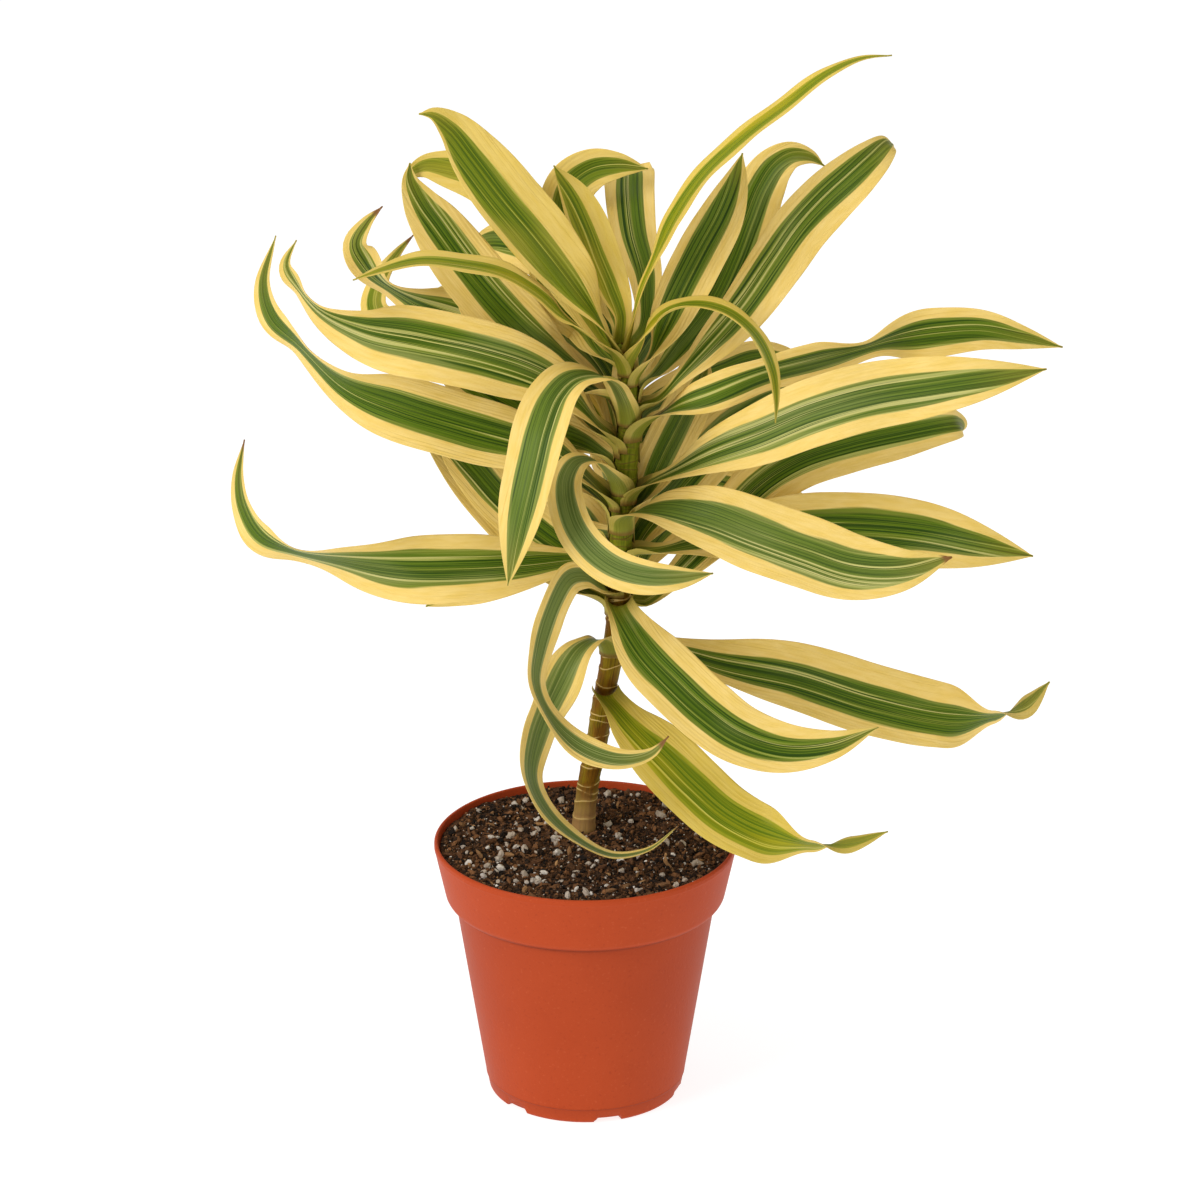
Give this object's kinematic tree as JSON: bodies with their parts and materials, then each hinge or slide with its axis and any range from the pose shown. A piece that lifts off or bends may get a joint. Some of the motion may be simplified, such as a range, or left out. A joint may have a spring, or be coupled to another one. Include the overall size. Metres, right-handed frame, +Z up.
{
  "type": "potted plant",
  "caption": "Potted dracaena with a thin woody stem and long arching cream-edged leaves, growing in soil in a round tapered plastic pot.",
  "frame": {"origin": "centre of the pot's flat base ring, on the surface it stands on", "axes": "+Z up through the pot, -Y towards the side the picture shows"},
  "size_m": [0.4093, 0.2193, 0.5494],
  "materials": {
    "pot_plastic": "terracotta-coloured thin moulded plastic, satin",
    "potting_mix": "dark peat with pale perlite grains and tan bark bits",
    "stem_bark": "brown-olive young bark with tan leaf scar rings, green towards the tip",
    "leaf_variegated": "smooth waxy leaf, dark green middle with light streaks and cream-yellow edges",
    "leaf_young": "smooth waxy young leaf, yellow-green middle with pale yellow edges"
  },
  "bodies": {
    "root": {"pot": "pot_plastic", "soil": "potting_mix", "stem": "stem_bark", "leaf_01": "leaf_young", "leaf_02": "leaf_variegated", "leaf_03": "leaf_variegated", "leaf_04": "leaf_variegated", "leaf_05": "leaf_variegated", "leaf_06": "leaf_variegated", "leaf_07": "leaf_variegated", "leaf_08": "leaf_variegated", "leaf_09": "leaf_variegated", "leaf_10": "leaf_variegated", "leaf_11": "leaf_variegated", "leaf_12": "leaf_variegated", "leaf_13": "leaf_variegated", "leaf_14": "leaf_variegated", "leaf_15": "leaf_variegated", "leaf_16": "leaf_variegated", "leaf_17": "leaf_variegated", "leaf_18": "leaf_variegated", "leaf_19": "leaf_variegated", "leaf_20": "leaf_variegated", "leaf_21": "leaf_variegated", "leaf_22": "leaf_variegated", "leaf_23": "leaf_variegated", "leaf_24": "leaf_variegated", "leaf_25": "leaf_variegated", "leaf_26": "leaf_variegated", "leaf_27": "leaf_variegated", "leaf_28": "leaf_variegated", "leaf_29": "leaf_variegated", "leaf_30": "leaf_variegated", "leaf_31": "leaf_variegated", "leaf_32": "leaf_variegated", "leaf_33": "leaf_variegated", "leaf_34": "leaf_variegated", "leaf_35": "leaf_variegated", "leaf_36": "leaf_variegated", "leaf_37": "leaf_variegated", "leaf_38": "leaf_variegated", "leaf_39": "leaf_variegated", "leaf_40": "leaf_variegated", "leaf_41": "leaf_variegated", "leaf_42": "leaf_young", "leaf_43": "leaf_variegated", "leaf_44": "leaf_young", "leaf_45": "leaf_variegated", "leaf_46": "leaf_young", "leaf_47": "leaf_variegated", "leaf_48": "leaf_young"}
  },
  "joints": []
}
